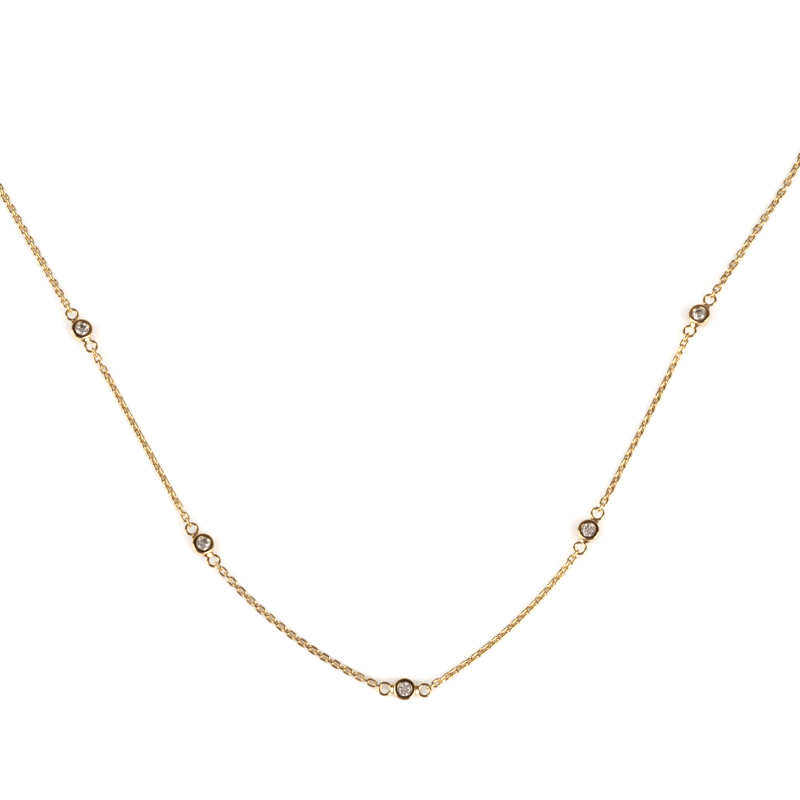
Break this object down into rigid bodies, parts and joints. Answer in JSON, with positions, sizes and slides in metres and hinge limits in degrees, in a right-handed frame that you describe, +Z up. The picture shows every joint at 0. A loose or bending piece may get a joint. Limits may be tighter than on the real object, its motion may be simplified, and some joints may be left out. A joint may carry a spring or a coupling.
{
  "type": "diamond station necklace",
  "caption": "Fine cable chain necklace lying in a loop, with small round diamonds in rim settings linked between stretches of chain, closed by a spring ring.",
  "frame": {"origin": "on the surface that the necklace lies on, below the middle of its outline", "axes": "+Z up from the surface, towards which the stones face; +Y from the front setting to the clasp; +X to the wearer's left"},
  "size_m": [0.1302, 0.1722, 0.0025],
  "materials": {
    "setting_gold": "polished yellow gold",
    "chain_gold": "polished yellow gold wire",
    "clasp_gold": "polished yellow gold",
    "diamond": "clear, cut and polished"
  },
  "bodies": {
    "root": {"setting_1": "setting_gold", "setting_2": "setting_gold", "setting_3": "setting_gold", "setting_4": "setting_gold", "setting_5": "setting_gold", "stone_1": "diamond", "stone_2": "diamond", "stone_3": "diamond", "stone_4": "diamond", "stone_5": "diamond", "chain_1_2": "chain_gold", "chain_2_3": "chain_gold", "chain_3_4": "chain_gold", "chain_4_5": "chain_gold", "side_chain_left": "chain_gold", "side_chain_right": "chain_gold", "back_chain_left": "chain_gold", "back_chain_right": "chain_gold", "clasp": "clasp_gold", "catch_ring": "clasp_gold"}
  },
  "joints": []
}
